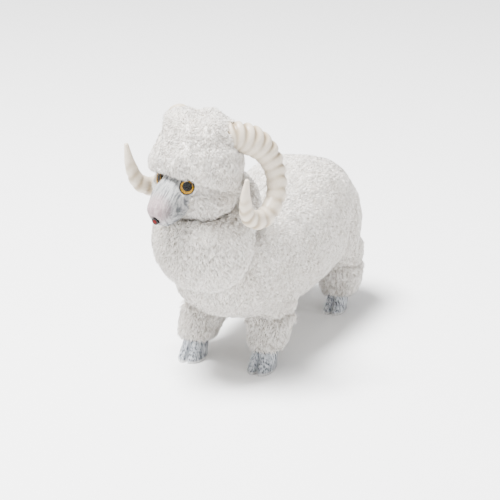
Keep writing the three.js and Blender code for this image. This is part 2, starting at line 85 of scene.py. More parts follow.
# The pale rim at a hoof's sole is full up to rim_full and gone at rim_end.
HOOF = {
    "x": 31, "front_y": -74, "rear_y": 76, "half_width": 10.5, "half_length": 14,
    "height": 16.5, "toe_slope": 8, "rear_scale": 0.86, "power": 2.6,
    "profile": [(0, 0.94), (0.12, 1), (0.55, 0.93), (1, 0.82)],
    "cleft_width": 1.2, "cleft_depth": 0.4, "around": 144, "steps": 24,
    "rim_full": 1.2, "rim_end": 3,
}

# How each panel's pile grows: length and half thickness (mm), strands to the square
# millimetre, lift off the fabric (0 flat, 1 upright), pull into tufts, and curl.
PILE = {
    "body": dict(length=4.8, thick=0.30, density=1.0, lift=0.32, clump=0.55, curl=0.15),
    "ruff": dict(length=6.0, thick=0.34, density=1.1, lift=0.38, clump=0.62, curl=0.28),
    "poll": dict(length=4.6, thick=0.29, density=1.6, lift=0.34, clump=0.50, curl=0.12),
    "cheek": dict(length=5.6, thick=0.33, density=1.4, lift=0.36, clump=0.68, curl=0.30),
    "sleeve": dict(length=7.0, thick=0.32, density=1.2, lift=0.30, clump=0.55, curl=0.22),
    "face": dict(length=1.6, thick=0.17, density=3.60, lift=0.24, clump=0.10, curl=0.05),
}
# What all strands share. Two noises, as (scale to the metre, weight), bend the combing: slow
# wander, and quick ripple that weighs more where the pile curls. "stray" is each strand's
# own turn. The lower half rises more than the pile's lift and the upper half less, and
# "halves" are their shares of the length. One strand in every "tuft" leads its neighbours.
STRAND = {
    "wander": (70, 0.5), "ripple": (260, 0.2), "ripple_from_curl": 1.6, "stray": 0.15,
    "lower_rise": 0.35, "upper_fall": 0.15, "halves": (0.5, 0.55), "middle_size": 0.8,
    "length_range": (0.75, 1.15), "thick_range": (0.75, 1.25), "root_depth": 0.4, "tuft": 6,
}
RIPPLE_SHIFT = Vector((9, 4, 1))  # so that the two noises differ
ROLL_REACH = 4.5                 # from a seam to the crest of the roll beside it
MOST_STRANDS = 17200             # to a piece, at 10 triangles each

# Every cover: its kind of pile, the way it is combed before it is laid on the skin, and
# in millimetres how far its ground is sunk, how far it rolls out beside its seams, and
# how deep it may go before the mould under it would show.
SLEEVE = dict(kind="sleeve", comb=(0, 0, -1), inset=0.6, roll=0, deepest=3.2)
FLANK = dict(kind="body", comb=(0, 0.6, -0.75), inset=1.4, roll=0.4, deepest=3.2)
BODY_COVERS = {
    "chest_cover": dict(kind="body", comb=(0, 0.1, -1), inset=2.8, roll=0, deepest=3.2),
    "belly_cover": dict(kind="body", comb=(0, 1, -0.2), inset=1.4, roll=0, deepest=3.2),
    "rump_cover": dict(kind="body", comb=(0, 0.45, -0.8), inset=1.3, roll=0.4, deepest=3.2),
    "flank_cover_left": FLANK,
    "flank_cover_right": FLANK,
    "ruff_cover": dict(kind="ruff", comb=(0, 0.15, -1), inset=0.6, roll=2.6, deepest=3.2),
    "tail_cover": dict(kind="ruff", comb=(0, 0.1, -1), inset=1.0, roll=0, deepest=3.2),
    **{f"{leg}_leg_sleeve": SLEEVE for leg in LEGS},
}
# The head's covers are combed in the head's own frame.
HEAD_COVERS = {
    "cheek_cover_left": dict(kind="cheek", comb=(0.3, 0.6, -0.9), inset=1.2, roll=-1.4, deepest=3),
    "cheek_cover_right": dict(kind="cheek", comb=(-0.3, 0.6, -0.9), inset=1.2, roll=-1.4, deepest=3),
    "poll_cover": dict(kind="poll", comb=(0, 0.3, -0.5), inset=0.8, roll=2.4, deepest=3),
    "face_cover": dict(kind="face", comb=(0, 0.8, 0.45), inset=0.3, roll=0, deepest=0.8),
}
HEAD_SWELLS = [                  # point in the head's frame, reach, height
    ((-32, -18, 7), 12, -9.0), ((2, 4, 32), 21, -4.5), ((-22, -3, 21), 10, 5.0),
    ((-2, -20, 22), 9, 2.5), ((20, 0, 26), 9, 3.0), ((14, -26, 2), 11, 2.0),
    ((13.5, -28, -12), 6, -1.6), ((-13.5, -28, -12), 6, -1.6),
]
BODY_SWELLS = [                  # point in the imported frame, reach, height
    ((4, -60, 172), 24, -7.0), ((24, -88, 96), 14, 2.0), ((-33, -105, 112), 26, -3.2),
    ((36, -39, 17), 12, 1.8), ((-26, -39, 17), 12, 1.8),
    ((36, 111, 17), 12, 3.4), ((-26, 111, 17), 12, 3.4),
]
# Soft unevenness of each skin as (size, height), its seams' depth and half width, and
# the voxel size and smoothing passes that make it.
BODY_SKIN = dict(voxel=2.0, passes=30, lumps=[(30, 1.5), (12, 0.5)], seam=(1.2, 2.0))
HEAD_SKIN = dict(voxel=1.3, passes=14, lumps=[(15, 1.0), (7, 0.4)], seam=(2.2, 1.8))
COVER_REACH = 2.6                # a skin farther than this from every cover is left out
HIDDEN_DEPTH = 2.5               # and so is what lies this deep inside the other skin
CORES = ["body_core_left", "body_core_right", "head_core"] + [f"{leg}_leg_core" for leg in LEGS]

# The studio, in metres, watts and millimetres of lens.
CAMERA = {
    "at": (0.7213, -1.5386, 0.6588), "target": (-0.01074, 0.0276, 0.07102),
    "lens": 158.4, "sensor": 36,
}
LAMPS = {
    "key": {"at": (-0.4, -0.5, 2.0), "size": 0.7, "power": 235},
    "fill": {"at": (1.6, -0.9, 0.8), "size": 1.4, "power": 6},
}
LAMP_TARGET = Vector((0, 0, 0.11))
WORLD_STRENGTH = 0.9
FLOOR_HALF = 6

HEAD_MATRIX = (
    Matrix.Translation((HEAD["at"] + SHIFT) * MM)
    @ Matrix.Rotation(-math.radians(HEAD["turn"]), 4, "Z")
    @ Matrix.Rotation(math.radians(HEAD["tilt"]), 4, "Y")
)


def in_head(x, y, z):
    """A point of the head's own frame, in millimetres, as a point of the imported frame."""
    return HEAD_MATRIX @ (Vector((x, y, z)) * MM)


def eye_frame(side):
    """The middle of one eye's cup and the way the eye looks."""
    outward = math.radians(EYE["outward"])
    look = Vector((side * math.sin(outward), -math.cos(outward), math.tan(math.radians(EYE["upward"]))))
    middle = in_head(side * EYE["x"], EYE["y"], EYE["z"])
    return middle, (HEAD_MATRIX.to_3x3() @ look).normalized()


# ------------------------------------------------------------------- materials
def new_material(name):
    """An empty node material: its tree, its Principled shader and its object coordinates."""
    material = bpy.data.materials.new(name)
    material.use_nodes = True
    tree = material.node_tree
    shader = tree.nodes["Principled BSDF"]
    place = tree.nodes.new("ShaderNodeTexCoord").outputs["Object"]
    return material, tree, shader, place


def set_inputs(node, **values):
    """Sets a node's own sockets, with _ for a space in each name."""
    for name, value in values.items():
        node.inputs[name.replace("_", " ")].default_value = value


def mapped(tree, place, scale=(1, 1, 1), location=(0, 0, 0), rotation=(0, 0, 0)):
    """Coordinates scaled, turned and moved."""
    node = tree.nodes.new("ShaderNodeMapping")
    set_inputs(node, Scale=scale, Location=location, Rotation=rotation)
    tree.links.new(place, node.inputs["Vector"])
    return node.outputs["Vector"]


def head_coordinates(tree, place):
    """Coordinates in the head's own frame, in metres."""
    back = HEAD_MATRIX.inverted()
    return mapped(tree, place, location=back.to_translation(), rotation=back.to_euler("XYZ"))


def noise_value(tree, place, scale, detail=3, roughness=0.5):
    """A noise texture's grey output."""
    node = tree.nodes.new("ShaderNodeTexNoise")
    set_inputs(node, Scale=scale, Detail=detail, Roughness=roughness)
    tree.links.new(place, node.inputs["Vector"])
    return node.outputs["Fac"]


def ramp(tree, factor, stops):
    """A colour ramp over a grey value: stops are (position, rgb)."""
    node = tree.nodes.new("ShaderNodeValToRGB")
    elements = node.color_ramp.elements
    while len(elements) < len(stops):
        elements.new(0.5)
    for element, (position, rgb) in zip(elements, stops):
        element.position = position
        element.color = (*rgb, 1)
    tree.links.new(factor, node.inputs["Fac"])
    return node.outputs["Color"]


def blend_colours(tree, factor, first, second, mode="MIX"):
    """Mixes two colours; each is a socket or an rgb triple."""
    node = tree.nodes.new("ShaderNodeMix")
    node.data_type = "RGBA"
    node.blend_type = mode
    if isinstance(factor, float):
        node.inputs[0].default_value = factor
    else:
        tree.links.new(factor, node.inputs[0])
    for socket, value in ((node.inputs[6], first), (node.inputs[7], second)):
        if isinstance(value, tuple):
            socket.default_value = (*value, 1)
        else:
            tree.links.new(value, socket)
    return node.outputs[2]


def maths(tree, operation, first, second=None):
    """A Math node over sockets or numbers."""
    node = tree.nodes.new("ShaderNodeMath")
    node.operation = operation
    for socket, value in zip(node.inputs, (first, second)):
        if value is None:
            continue
        if isinstance(value, (int, float)):
            socket.default_value = value
        else:
            tree.links.new(value, socket)
    return node.outputs[0]


def ranged(tree, value, low, high):
    """A value's range low to high turned into 0 to 1, eased and clamped."""
    node = tree.nodes.new("ShaderNodeMapRange")
    node.interpolation_type = "SMOOTHSTEP"
    node.inputs["From Min"].default_value = low
    node.inputs["From Max"].default_value = high
    tree.links.new(value, node.inputs["Value"])
    return node.outputs["Result"]


def distance_from(tree, place, point):
    """The distance of each surface point from one fixed point."""
    node = tree.nodes.new("ShaderNodeVectorMath")
    node.operation = "DISTANCE"
    node.inputs[1].default_value = point
    tree.links.new(place, node.inputs[0])
    return node.outputs["Value"]


def add_bump(tree, shader, height, strength, distance):
    """Bump from a grey value."""
    node = tree.nodes.new("ShaderNodeBump")
    set_inputs(node, Strength=strength, Distance=distance)
    tree.links.new(height, node.inputs["Height"])
    tree.links.new(node.outputs["Normal"], shader.inputs["Normal"])


def pile_material():
    """White pile: leaning streaks of painted warm shade between tufts, slow drift in tone, fine bump.
    """
    material, tree, shader, place = new_material("white_pile")
    leaning = mapped(tree, place, rotation=(0.9, 0, 0))
    streaks = noise_value(tree, mapped(tree, leaning, scale=(520, 520, 170)), 1.0, 4, 0.65)
    # The dark end of this ramp is painted shade between the tufts; the light end is the white of the
    # pile.
    tufts = ramp(tree, streaks, [(0.36, (0.60, 0.55, 0.49)), (0.55, (0.97, 0.938, 0.89))])
    patches = noise_value(tree, place, 22)
    drift = ramp(tree, patches, [(0.3, (0.90, 0.89, 0.875)), (0.7, (1.0, 1.0, 1.0))])
    colour = blend_colours(tree, 1.0, tufts, drift, "MULTIPLY")
    tree.links.new(colour, shader.inputs["Base Color"])
    set_inputs(shader, Roughness=0.85, Sheen_Weight=0.25, Sheen_Roughness=0.5, Specular_IOR_Level=0.2)
    add_bump(tree, shader, noise_value(tree, place, 2200, 2), 0.35, 0.0004)
    return material


def face_material():
    """Short face pile: grey lines down the muzzle and a pink nose."""
    material, tree, shader, place = new_material("face_pile")
    local = head_coordinates(tree, place)
    lines = noise_value(tree, mapped(tree, local, scale=(1300, 110, 110)), 1.0, 4, 0.7)
    ground = ramp(tree, lines, [(0.40, (0.11, 0.115, 0.125)), (0.56, (0.46, 0.46, 0.455))])
    from_nose = distance_from(tree, local, Vector(NOSE["at"]) * MM)
    near_nose = ranged(tree, from_nose, NOSE["grey_beyond"] * MM, NOSE["pink_within"] * MM)
    colour = blend_colours(tree, maths(tree, "MULTIPLY", near_nose, 0.65), ground, (0.40, 0.28, 0.29))
    tree.links.new(colour, shader.inputs["Base Color"])
    set_inputs(shader, Roughness=0.8, Sheen_Weight=0.2, Sheen_Roughness=0.5, Specular_IOR_Level=0.2)
    add_bump(tree, shader, noise_value(tree, place, 2600, 2), 0.3, 0.0003)
    return material


def horn_material():
    """Ivory plastic, with beige-brown painted shade in the grooves and random streaks of tone."""
    material, tree, shader, place = new_material("horn_plastic")
    groove = tree.nodes.new("ShaderNodeAttribute")
    groove.attribute_name = "groove"
    streaks = noise_value(tree, place, 260, 4, 0.6)
    groove_shade_and_streaks = maths(tree, "ADD", groove.outputs["Fac"], maths(tree, "MULTIPLY", streaks, 0.35))
    # The deeper a point lies in a groove, the darker its colour: painted shade in the grooves, with
    # random streaks of tone on top.
    colour = ramp(
        tree, groove_shade_and_streaks,
        [(0.18, (0.61, 0.535, 0.43)), (0.55, (0.45, 0.37, 0.265)), (1.0, (0.27, 0.205, 0.13))],
    )
    tree.links.new(colour, shader.inputs["Base Color"])
    set_inputs(shader, Roughness=0.42, Coat_Weight=0.12, Coat_Roughness=0.3)
    add_bump(tree, shader, noise_value(tree, place, 900, 4), 0.25, 0.0004)
    return material


def hoof_material():
    """Silver-grey paint with dark brush strokes and a pale rim at the sole."""
    material, tree, shader, place = new_material("hoof_paint")
    strokes = noise_value(tree, mapped(tree, place, scale=(760, 760, 170)), 1.0, 4, 0.65)
    paint = ramp(
        tree, strokes,
        [(0.38, (0.035, 0.04, 0.05)), (0.49, (0.30, 0.32, 0.345)), (0.62, (0.56, 0.58, 0.61))],
    )
    height = tree.nodes.new("ShaderNodeSeparateXYZ")
    tree.links.new(place, height.inputs["Vector"])
    rim = ranged(tree, height.outputs["Z"], HOOF["rim_end"] * MM, HOOF["rim_full"] * MM)
    colour = blend_colours(tree, maths(tree, "MULTIPLY", rim, 0.7), paint, (0.72, 0.71, 0.69))
    tree.links.new(colour, shader.inputs["Base Color"])
    set_inputs(shader, Roughness=0.42, Metallic=0.25)
    add_bump(tree, shader, strokes, 0.3, 0.0005)
    return material


def iris_material(side):
    """Amber iris with dark streaks, a large black pupil off its middle and a dark edge."""
    material, tree, shader, place = new_material("eye_amber_" + ("left" if side > 0 else "right"))
    middle, look = eye_frame(side)
    turn = look.to_track_quat("Z", "Y").to_matrix().to_4x4()
    back = (Matrix.Translation(middle) @ turn).inverted()
    local = mapped(tree, place, location=back.to_translation(), rotation=back.to_euler("XYZ"))
    flat = mapped(tree, local, scale=(1, 1, 0))
    radius = distance_from(tree, flat, (0, 0, 0))
    streaks = noise_value(tree, mapped(tree, flat, scale=(700, 700, 1)), 1.0, 4, 0.7)
    amber = ramp(tree, streaks, [(0.38, (0.14, 0.035, 0.001)), (0.55, (0.95, 0.50, 0.004))])
    from_pupil = distance_from(tree, flat, Vector(IRIS["pupil_middle"]) * MM)
    pupil = ranged(tree, from_pupil, IRIS["pupil"][1] * MM, IRIS["pupil"][0] * MM)
    edge = ranged(tree, radius, IRIS["edge"][0] * MM, IRIS["edge"][1] * MM)
    dark = maths(tree, "MAXIMUM", pupil, edge)
    tree.links.new(blend_colours(tree, dark, amber, (0.005, 0.004, 0.003)), shader.inputs["Base Color"])
    set_inputs(shader, Roughness=0.5, Specular_IOR_Level=0.05)
    return material


def clear_material():
    """The clear dome over an iris: thin, with a hard gloss."""
    material, tree, shader, place = new_material("eye_clear")
    haze = noise_value(tree, place, 400)
    tint = ramp(tree, haze, [(0.3, (0.02, 0.02, 0.02)), (0.7, (0.03, 0.03, 0.03))])
    tree.links.new(tint, shader.inputs["Base Color"])
    set_inputs(shader, Roughness=0.04, IOR=1.5, Alpha=0.16)
    return material


def mottled(name, dark, light, scale, roughness, gloss=0.5, stretch=(1, 1, 1)):
    """A hard surface with slight colour and height variation."""
    material, tree, shader, place = new_material(name)
    grain = noise_value(tree, mapped(tree, place, scale=stretch), scale, 4, 0.6)
    tree.links.new(ramp(tree, grain, [(0.3, dark), (0.7, light)]), shader.inputs["Base Color"])
    set_inputs(shader, Roughness=roughness, Specular_IOR_Level=gloss)
    add_bump(tree, shader, grain, 0.15, 0.0003)
    return material


# ------------------------------------------------------------------ mesh making
def new_object(name, data):
    """A mesh, lamp or camera as an object of the scene."""
    item = bpy.data.objects.new(name, data)
    bpy.context.scene.collection.objects.link(item)
    return item


def mesh_from(name, vertices, faces):
    """A smooth mesh from arrays of vertices and of faces of mixed sizes."""
    mesh = bpy.data.meshes.new(name)
    sizes = np.concatenate([np.full(len(part), part.shape[1]) for part in faces])
    loops = np.concatenate([part.ravel() for part in faces]).astype(np.int32)
    mesh.vertices.add(len(vertices))
    mesh.vertices.foreach_set("co", np.asarray(vertices, np.float32).ravel())
    mesh.loops.add(len(loops))
    mesh.loops.foreach_set("vertex_index", loops)
    mesh.polygons.add(len(sizes))
    starts = np.concatenate([[0], np.cumsum(sizes)[:-1]]).astype(np.int32)
    mesh.polygons.foreach_set("loop_start", starts)
    mesh.update(calc_edges=True)
    mesh.validate()
    mesh.polygons.foreach_set("use_smooth", np.ones(len(mesh.polygons), bool))
    return mesh


def rings_to_mesh(name, rings):
    """A closed skin through rings of equal point count, with a fan on each end."""
    rings = np.asarray(rings)
    count, around, _ = rings.shape
    index = np.arange(count * around).reshape(count, around)
    following = np.roll(index, -1, axis=1)
    sides = np.stack([index[:-1], following[:-1], following[1:], index[1:]], axis=-1).reshape(-1, 4)
    points = np.concatenate([rings.reshape(-1, 3), rings[0].mean(0)[None], rings[-1].mean(0)[None]])
    low, high = count * around, count * around + 1
    start = np.stack([np.full(around, low), following[0], index[0]], axis=-1)
    end = np.stack([np.full(around, high), index[-1], following[-1]], axis=-1)
    return mesh_from(name, points, [sides, start, end])


def node_arrays(names):
    """Vertices, faces and owner numbers of several CAD nodes together."""
    vertices, faces, owners = [], [], []
    for number, name in enumerate(names):
        mesh = NODES[name].data
        start = len(vertices)
        vertices.extend(v.co.copy() for v in mesh.vertices)
        for polygon in mesh.polygons:
            faces.append([start + v for v in polygon.vertices])
            owners.append(number)
    return vertices, faces, owners


def largest_shell(faces, count):
    """Which faces belong to the biggest connected shell."""
    label = np.arange(count)
    while True:
        low = label[faces].min(axis=1)
        new = label.copy()
        for corner in range(faces.shape[1]):
            np.minimum.at(new, faces[:, corner], low)
        new = new[new]
        if (new == label).all():
            break
        label = new
    of_face = label[faces[:, 0]]
    names, sizes = np.unique(of_face, return_counts=True)
    return of_face == names[sizes.argmax()]


def rounded_skin(names, look):
    """One smooth skin over several CAD solids: (vertices, faces) of its outer shell."""
    vertices, faces, _ = node_arrays(names)
    mesh = bpy.data.meshes.new("skin")
    mesh.from_pydata(vertices, [], faces)
    item = new_object("skin", mesh)
    remesh = item.modifiers.new("remesh", "REMESH")
    remesh.mode = "VOXEL"
    remesh.voxel_size = look["voxel"] * MM
    soften = item.modifiers.new("soften", "SMOOTH")
    soften.iterations = look["passes"]
    done = bpy.data.meshes.new_from_object(item.evaluated_get(bpy.context.evaluated_depsgraph_get()))
    points = np.empty(len(done.vertices) * 3)
    done.vertices.foreach_get("co", points)
    corners = np.empty(len(done.loops), np.int32)
    done.loops.foreach_get("vertex_index", corners)
    bpy.data.objects.remove(item)
    quads = corners.reshape(-1, 4)
    return points.reshape(-1, 3), quads[largest_shell(quads, len(points) // 3)]


def unit(vectors):
    """Vectors scaled to length one."""
    return vectors / np.maximum(np.linalg.norm(vectors, axis=1, keepdims=True), 1e-12)


def face_normals(points, quads):
    """Unit normals of four-sided faces."""
    a, b, c, d = (points[quads[:, corner]] for corner in range(4))
    return unit(np.cross(c - a, d - b))


def vertex_normals(points, quads):
    """Unit normals of the vertices."""
    normals = np.zeros_like(points)
    of_faces = face_normals(points, quads)
    for corner in range(4):
        np.add.at(normals, quads[:, corner], of_faces)
    return unit(normals)


# ----------------------------------------------------------------------- fabric
def seam_distance(points, quads, owners):
    """Each vertex's distance from the nearest seam between two covers."""
    first = np.full(len(points), -1)
    mixed = np.zeros(len(points), bool)
    for corner in range(4):
        here = quads[:, corner]
        seen = first[here]
        mixed[here[(seen >= 0) & (seen != owners)]] = True
        first[here] = owners
    seam = points[mixed]
    tree = KDTree(len(seam))
    for number, point in enumerate(seam):
        tree.insert(point, number)
    tree.balance()
    return np.array([tree.find(point)[2] for point in points])


def per_vertex(values, owners, quads, count):
    """Values known for each cover, as values of the vertices of its faces."""
    result = np.zeros(count)
    result[quads] = np.array(values, float)[owners][:, None]
    return result


def shape_skin(points, quads, owners, covers, swells, look):
    """Sinks the fabric's ground under its pile, with soft lumps, rolls and drawn-in seams."""
    def of_cover(key):
        return per_vertex([cover[key] for cover in covers.values()], owners, quads, len(points))

    normals = vertex_normals(points, quads)
    away = seam_distance(points, quads, owners)
    seam_depth, seam_width = look["seam"]
    reach_in = away / (ROLL_REACH * MM)
    depth = of_cover("inset") - of_cover("roll") * reach_in * np.exp(1 - reach_in)
    depth += seam_depth * np.exp(-((away / (seam_width * MM)) ** 2))
    depth = np.minimum(depth, of_cover("deepest"))
    for middle, reach, height in swells:
        offset = np.linalg.norm(points - np.array(middle), axis=1)
        depth -= height * np.exp(-((offset / (reach * MM)) ** 2))
    for size, height in look["lumps"]:
        swell = np.array([noise.noise(Vector(point) / (size * MM)) for point in points])
        depth -= height * swell
    return points - normals * (depth * MM)[:, None]


def gather(roots, tips, pull):
    """Draws the tips of neighbouring strands together into tufts."""
    leaders = RNG.choice(len(roots), max(1, len(roots) // STRAND["tuft"]), replace=False)
    tree = KDTree(len(leaders))
    for number, leader in enumerate(leaders):
        tree.insert(roots[leader], number)
    tree.balance()
    nearest = leaders[np.array([tree.find(root)[1] for root in roots])]
    return tips + (tips[nearest] - tips) * pull


def combing(places, normals, pile, combed):
    """The way each strand lies: along the skin, combed, with slow and quick turns."""
    wander_scale, wander_weight = STRAND["wander"]
    ripple_scale, ripple_weight = STRAND["ripple"]
    wander = np.array([noise.noise_vector(Vector(p) * wander_scale) for p in places])
    ripple = np.array([noise.noise_vector(Vector(p) * ripple_scale + RIPPLE_SHIFT) for p in places])
    ripple_weight += STRAND["ripple_from_curl"] * pile["curl"]
    flow = np.array(combed) + wander_weight * wander + ripple_weight * ripple
    flow += RNG.normal(0, STRAND["stray"], (len(places), 3))
    flow -= normals * (flow * normals).sum(1, keepdims=True)
    return unit(flow)


def strands(points, quads, pile, combed):
    """Closed tapering strands over the given faces: (vertices, four-sided, three-sided faces)."""
    a, b, c, d = (points[quads[:, corner]] for corner in range(4))
    area = np.linalg.norm(np.cross(c - a, d - b), axis=1) / 2
    wanted = min(MOST_STRANDS, int(area.sum() / MM**2 * pile["density"]))
    chosen = RNG.choice(len(quads), wanted, p=area / area.sum())
    u, v = RNG.random((2, wanted, 1))
    near_edge = (1 - v) * a[chosen] + v * d[chosen]
    far_edge = (1 - v) * b[chosen] + v * c[chosen]
    roots = (1 - u) * near_edge + u * far_edge
    normals = face_normals(points, quads)[chosen]
    flow = combing(roots, normals, pile, combed)
    length = pile["length"] * MM * RNG.uniform(*STRAND["length_range"], (wanted, 1))
    lower, upper = STRAND["halves"]
    lift = pile["lift"]
    rising = unit(normals * (lift + STRAND["lower_rise"]) + flow * (1 - lift))
    curl = np.cross(normals, flow) * RNG.normal(0, pile["curl"], (wanted, 1))
    laying = unit(normals * (lift - STRAND["upper_fall"]) + flow * (1 - lift) + curl)
    roots = roots - normals * STRAND["root_depth"] * MM
    middles = roots + rising * length * lower
    tips = gather(roots, middles + laying * length * upper, pile["clump"])
    thick = pile["thick"] * MM * RNG.uniform(*STRAND["thick_range"], (wanted, 1))
    side = unit(np.cross(rising, normals + 0.01))
    other = np.cross(rising, side)
    corners = []
    for centre, size in ((roots, 1), (middles, STRAND["middle_size"])):
        for k in range(3):
            angle = 2 * math.pi * k / 3
            corners.append(centre + thick * size * (math.cos(angle) * side + math.sin(angle) * other))
    vertices = np.stack([*corners, tips], axis=1)
    start = (np.arange(wanted) * vertices.shape[1])[:, None]
    walls = [start + np.array([k, (k + 1) % 3, (k + 1) % 3 + 3, k + 3]) for k in range(3)]
    caps = [start + np.array([k + 3, (k + 1) % 3 + 3, 6]) for k in range(3)]
    caps.append(start + np.array([2, 1, 0]))
    return vertices.reshape(-1, 3), np.concatenate(walls), np.concatenate(caps)


def solid_tree(points, quads):
    """A search tree over a skin."""
    return BVHTree.FromPolygons([Vector(p) for p in points], quads.tolist())


def is_inside(tree, point):
    """Whether a point lies well inside a skin."""
    found, normal, _, _ = tree.find_nearest(point)
    return (point - found).dot(normal) < -HIDDEN_DEPTH * MM


def bare_spot(point):
    """Whether a point is too near an eye or the mouth to carry pile."""
    for side in SIDES.values():
        middle, look = eye_frame(side)
        offset = point - middle
        off_axis = (offset - look * offset.dot(look)).length
        if off_axis < (EYE["radius"] + EYE_MARGIN) * MM and offset.dot(look) > -EYE["behind"] * MM:
            return True
    return (point - in_head(0, MOUTH["y"], MOUTH["z"])).length < MOUTH["clear"] * MM


def nearest_covers(covers, points, quads, other_tree):
    """For each face, the number of the cover it belongs to, and whether it is in the open."""
    vertices, faces, owner_of = node_arrays(covers)
    nearest = BVHTree.FromPolygons(vertices, faces)
    owners = np.empty(len(quads), int)
    shown = np.empty(len(quads), bool)
    for number, centre in enumerate(points[quads].mean(axis=1)):
        point = Vector(centre)
        _, _, face, distance = nearest.find_nearest(point)
        owners[number] = owner_of[face]
        shown[number] = distance < COVER_REACH * MM and not is_inside(other_tree, point)
    return owners, shown


def cover_piece(name, cover, points, quads, material_of):
    """One cover as a piece: its ground and the pile that grows on it."""
    centres = points[quads].mean(axis=1)
    hairy = quads[[not bare_spot(Vector(centre)) for centre in centres]]
    comb = Vector(cover["comb"])
    if name in HEAD_COVERS:
        comb = HEAD_MATRIX.to_3x3() @ comb
    hair, walls, caps = strands(points, hairy, PILE[cover["kind"]], comb)
    used, ground = np.unique(quads, return_inverse=True)
    title = name.replace("cover", "fur").replace("sleeve", "fur")
    mesh = mesh_from(
        title, np.concatenate([points[used], hair]),
        [ground.reshape(-1, 4), walls + len(used), caps + len(used)],
    )
    slot = "face_pile" if cover["kind"] == "face" else "white_pile"
    mesh.materials.append(material_of[slot])
    piece = new_object(title, mesh)
    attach(piece, "root")
    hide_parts(name)


def cover_pieces(covers, skin, other_tree, swells, look, material_of):
    """One piece for each cover, from the part of the shared skin nearest to it."""
    points, quads = skin
    owners, shown = nearest_covers(covers, points, quads, other_tree)
    points = shape_skin(points, quads, owners, covers, swells, look)
    for number, (name, cover) in enumerate(covers.items()):
        cover_piece(name, cover, points, quads[(owners == number) & shown], material_of)


# ------------------------------------------------------------------------ horns
def path_point(path, t):
    """A point on the centripetal Catmull-Rom curve through a path."""
    place = t * (len(path) - 1)
    number = min(int(place), len(path) - 2)
    weight = place - number
    start, end = path[number], path[number + 1]
    before = path[number - 1] if number > 0 else 2 * path[0] - path[1]
    after = path[number + 2] if number + 2 < len(path) else 2 * path[-1] - path[-2]
    d0, d1, d2 = (
        math.sqrt(np.linalg.norm(q - p)) for p, q in ((before, start), (start, end), (end, after))
    )
    out = ((start - before) / d0 - (end - before) / (d0 + d1) + (end - start) / d1) * d1
    into = ((end - start) / d1 - (after - start) / (d1 + d2) + (after - end) / d2) * d1
    return (
        start + out * weight + (-3 * start + 3 * end - 2 * out - into) * weight**2
        + (2 * start - 2 * end + out + into) * weight**3
    )


def horn_piece(side_name, side, material):
    """A horn with growth rings, deep on the outside of the curl and faint towards the tip."""
    path = [np.array((side * x, y, z), float) for x, y, z in HORN_PATH]
    curl = np.array((side * CURL_MIDDLE[0], *CURL_MIDDLE[1:]), float)
    angles = 2 * math.pi * np.arange(HORN["around"]) / HORN["around"]
    rings, grooves = [], []
    for step in range(HORN["steps"] + 1):
        t = step / HORN["steps"]
        centre = path_point(path, t)
        ahead, behind = min(t + HORN["tangent_step"], 1), max(t - HORN["tangent_step"], 0)
        forward = path_point(path, ahead) - path_point(path, behind)
        forward /= np.linalg.norm(forward)
        across = np.cross((1, 0, 0), forward)
        across /= np.linalg.norm(across)
        outward = np.cross(forward, across)
        radius = np.interp(t * (len(HORN_RADII) - 1), range(len(HORN_RADII)), HORN_RADII)
        spokes = np.outer(np.cos(angles), across) + np.outer(np.sin(angles), outward) * HORN["flatness"]
        away = centre - curl
        away /= np.linalg.norm(away)
        outer = HORN["side_depth"] + HORN["side_gain"] * (spokes @ away)
        outer = np.clip(outer, HORN["least_depth"], 1)
        fade = np.clip((1 - t - HORN["plain_tip"]) / HORN["smooth_tip"], 0, 1)
        wobble = HORN["wobble"] * np.sin(2 * angles + HORN["wobble_turn"] * t)
        wave = np.cos(2 * math.pi * (HORN["rings"] * t + wobble))
        depth = (0.5 + 0.5 * wave) ** HORN["sharpness"] * outer * fade
        rings.append(centre + spokes * radius * (1 - HORN["depth"] * depth)[:, None])
        grooves.append(depth)
    rings = np.array(rings)
    placed = np.array([in_head(*point) for point in rings.reshape(-1, 3)]).reshape(rings.shape)
    mesh = rings_to_mesh("horn_" + side_name, placed)
    attribute = mesh.attributes.new("groove", "FLOAT", "POINT")
    values = np.append(grooves, [0, 0])  # the last two are the middles of the end fans
    attribute.data.foreach_set("value", values.astype(np.float32))
    mesh.materials.append(material)
    piece = new_object("ringed_horn_" + side_name, mesh)
    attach(piece, "root")
    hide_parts("horn_" + side_name)


# ----------------------------------------------------------------------- hooves
def hoof_piece(leg, material):
    """A cloven hoof: a tapering block with a groove down its front."""
    end, side_name = leg.split("_")
    scale = 1.0 if end == "front" else HOOF["rear_scale"]
    heights, sizes = zip(*HOOF["profile"])
    angles = 2 * math.pi * np.arange(HOOF["around"]) / HOOF["around"]
    cosines, sines = np.cos(angles), np.sin(angles)
    power = 2 / HOOF["power"]
    rings = []
    for step in range(HOOF["steps"] + 1):
        t = step / HOOF["steps"]
        size = scale * np.interp(t, heights, sizes)
        x = size * HOOF["half_width"] * np.sign(cosines) * np.abs(cosines) ** power
        y = size * HOOF["half_length"] * np.sign(sines) * np.abs(sines) ** power
        groove = HOOF["cleft_depth"] * np.exp(-((x / HOOF["cleft_width"]) ** 2)) * (1 - t**4)
        y = np.where(y < 0, y * (1 - groove), y) + HOOF["toe_slope"] * (t - 0.5)
        rings.append(np.stack([x, y, np.full_like(x, t * HOOF["height"])], 1))
    base = Vector((SIDES[side_name] * HOOF["x"], HOOF[end + "_y"], 0)) + SHIFT
    mesh = rings_to_mesh(leg + "_hoof", (np.array(rings) + np.array(base)) * MM)
    mesh.materials.append(material)
    piece = new_object(leg + "_cloven_hoof", mesh)
    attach(piece, "root")
    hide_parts(leg + "_hoof")


